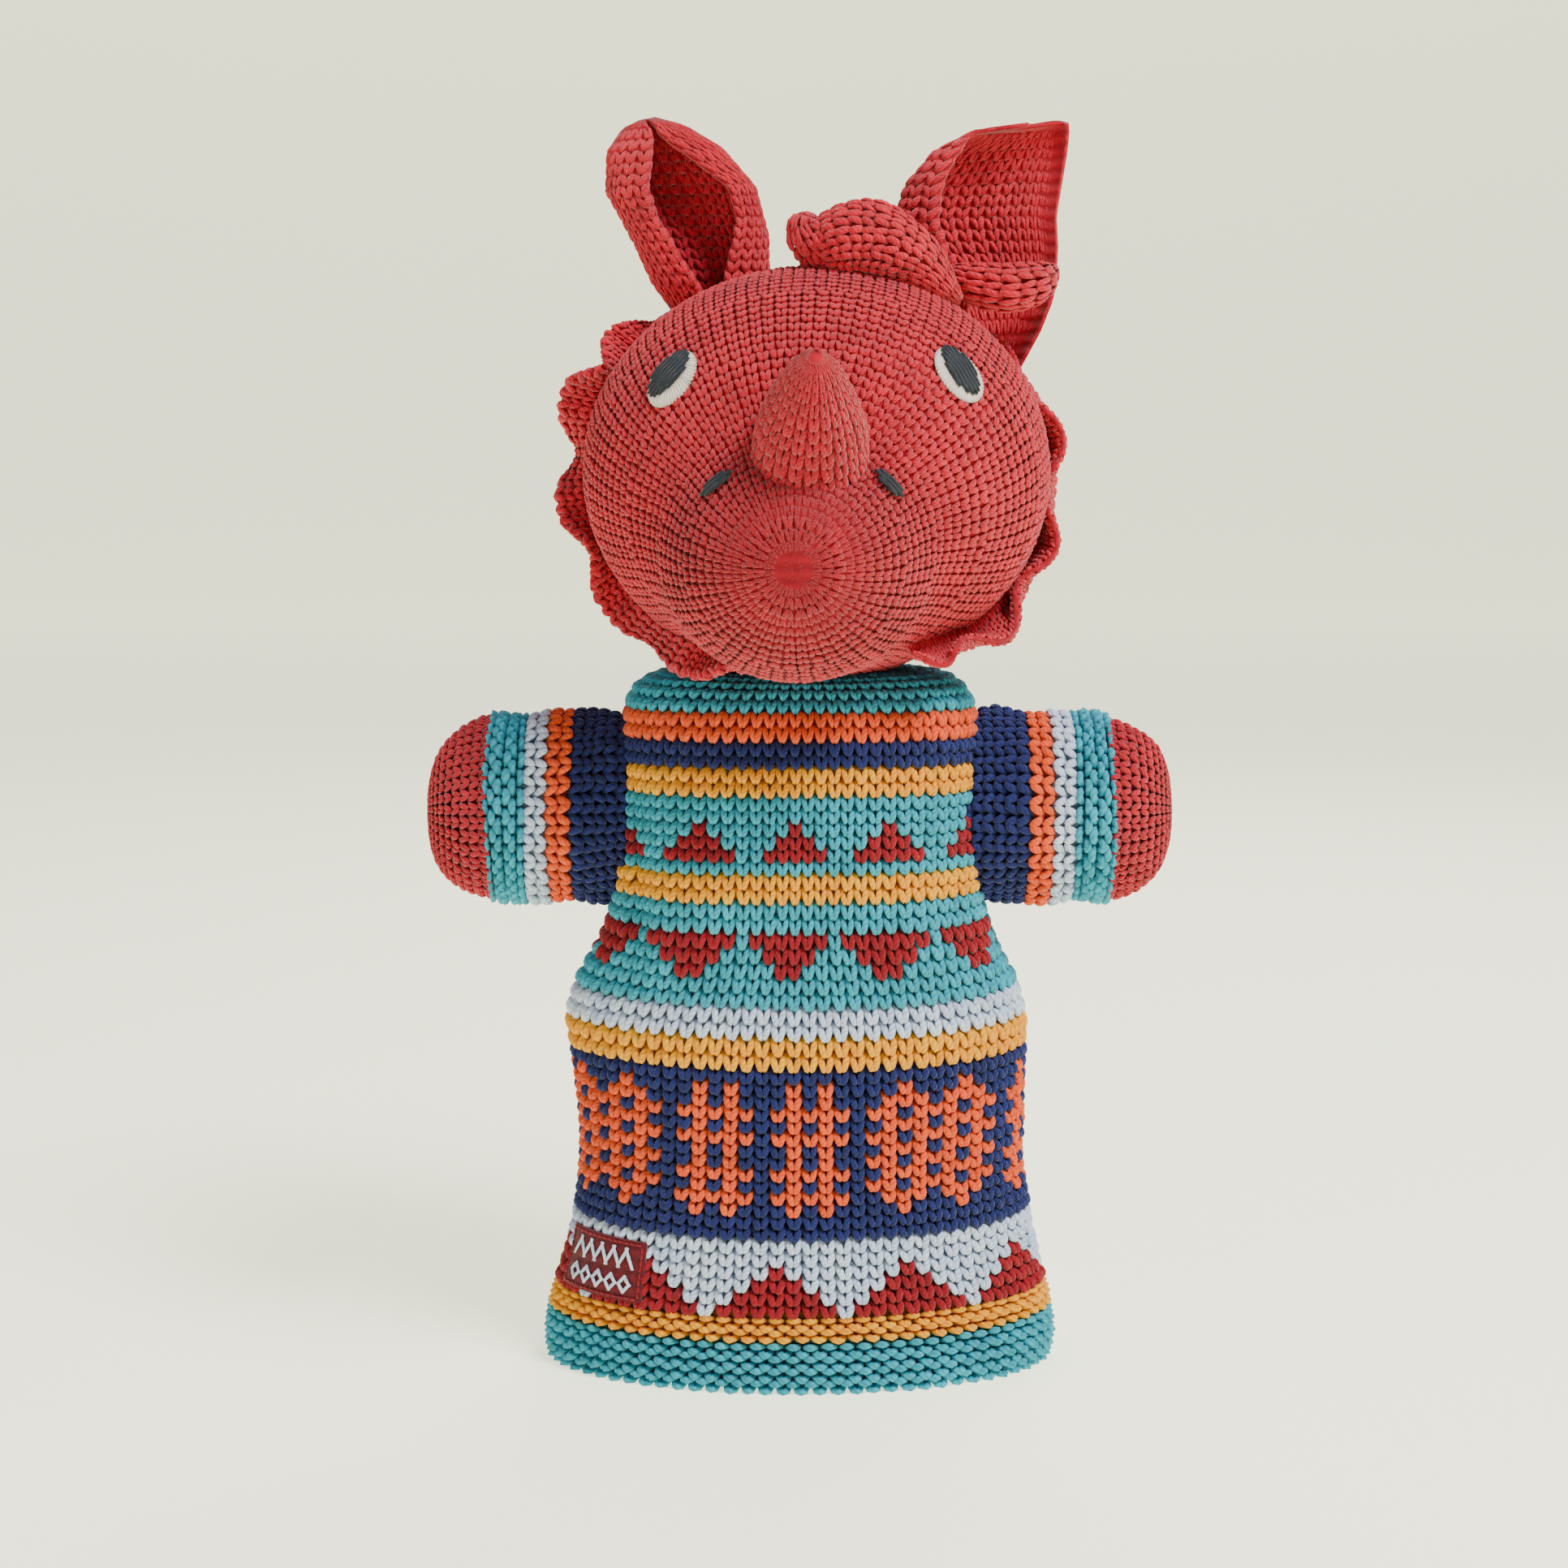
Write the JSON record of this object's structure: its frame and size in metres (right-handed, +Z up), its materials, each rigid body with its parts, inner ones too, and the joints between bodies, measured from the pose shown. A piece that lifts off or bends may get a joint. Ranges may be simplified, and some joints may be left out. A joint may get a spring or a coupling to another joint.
{
  "type": "hand puppet",
  "caption": "Knitted glove puppet of a horned beast: a patterned gown for the hand, two finger sleeves ending in mitts, and a stuffed head with horn, ears and cheek frill.",
  "frame": {"origin": "middle of the whole puppet's outline, at the height of the hem it stands on", "axes": "+Z up along the gown, the face looks along -Y, +X is the viewer's right, so the side named right is the viewer's right and the puppet's own left"},
  "size_m": [0.172, 0.1226, 0.2867],
  "materials": {
    "red_knit": "fuzzy fine stockinette in red cotton yarn",
    "gown_knit": "stockinette in navy, teal, yellow, orange, white and red cotton yarn",
    "teal_garter": "teal cotton garter stitch",
    "yellow_garter": "yellow cotton garter stitch",
    "label_cloth": "woven satin label",
    "stuffing": "white fibre stuffing",
    "eye_thread": "off-white embroidery",
    "pupil_thread": "dark grey embroidery"
  },
  "bodies": {
    "gown": {"gown": "gown_knit", "hem_band": "teal_garter", "hem_ridge": "yellow_garter", "side_seam_left": "gown_knit", "side_seam_right": "gown_knit", "label": "label_cloth", "label_stitches": "label_cloth"},
    "armhole_left": {"armhole_seam_left": "gown_knit"},
    "armhole_right": {"armhole_seam_right": "gown_knit"},
    "arm_left": {"sleeve_left": "gown_knit", "cuff_left": "teal_garter", "mitt_left": "red_knit", "mitt_padding_left": "stuffing"},
    "arm_right": {"sleeve_right": "gown_knit", "cuff_right": "teal_garter", "mitt_right": "red_knit", "mitt_padding_right": "stuffing"},
    "collar": {"neck_collar": "teal_garter"},
    "neck_seam": {"neck_seam": "red_knit"},
    "head": {"head_cover": "red_knit", "head_stuffing": "stuffing", "finger_pocket": "red_knit", "muzzle_gather": "red_knit", "nose_horn": "red_knit", "horn_stuffing": "stuffing", "eye_white_left": "eye_thread", "eye_white_right": "eye_thread", "pupil_left": "pupil_thread", "pupil_right": "pupil_thread", "nostril_left": "pupil_thread", "nostril_right": "pupil_thread", "frill_left": "red_knit", "frill_right": "red_knit"},
    "ear_left": {"ear_left": "red_knit"},
    "ear_right": {"ear_right": "red_knit"},
    "crest": {"crest": "red_knit"}
  },
  "joints": [
    {"name": "head_turn", "type": "hinge", "parent": "gown", "child": "collar", "pos_m": [0, 0.0207, 0.156], "axis": [0, 0, 1], "range_deg": [-30, 30]},
    {"name": "head_nod", "type": "hinge", "parent": "collar", "child": "neck_seam", "pos_m": [0, 0.0207, 0.18], "axis": [1, 0, 0], "range_deg": [-20, 10]},
    {"name": "head_tilt", "type": "hinge", "parent": "neck_seam", "child": "head", "pos_m": [0, 0.0207, 0.18], "axis": [0, 1, 0], "range_deg": [-10, 10]},
    {"name": "arm_swing_left", "type": "hinge", "parent": "gown", "child": "armhole_left", "pos_m": [-0.043, 0.0207, 0.128], "axis": [0, 0, 1], "range_deg": [-20, 40]},
    {"name": "arm_lift_left", "type": "hinge", "parent": "armhole_left", "child": "arm_left", "pos_m": [-0.043, 0.0207, 0.128], "axis": [0, 1, 0], "range_deg": [-25, 25]},
    {"name": "arm_swing_right", "type": "hinge", "parent": "gown", "child": "armhole_right", "pos_m": [0.043, 0.0207, 0.128], "axis": [0, 0, -1], "range_deg": [-20, 40]},
    {"name": "arm_lift_right", "type": "hinge", "parent": "armhole_right", "child": "arm_right", "pos_m": [0.043, 0.0207, 0.128], "axis": [0, -1, 0], "range_deg": [-25, 25]},
    {"name": "ear_flop_left", "type": "hinge", "parent": "head", "child": "ear_left", "pos_m": [-0.019, 0.0237, 0.2465], "axis": [0.8746, 0, 0.4848], "range_deg": [-25, 20]},
    {"name": "ear_flop_right", "type": "hinge", "parent": "head", "child": "ear_right", "pos_m": [0.044, 0.0237, 0.2375], "axis": [0.89, 0, -0.456], "range_deg": [-25, 20]},
    {"name": "crest_flop", "type": "hinge", "parent": "head", "child": "crest", "pos_m": [0.017, 0.0007, 0.25], "axis": [1, 0, 0], "range_deg": [-15, 15]}
  ]
}
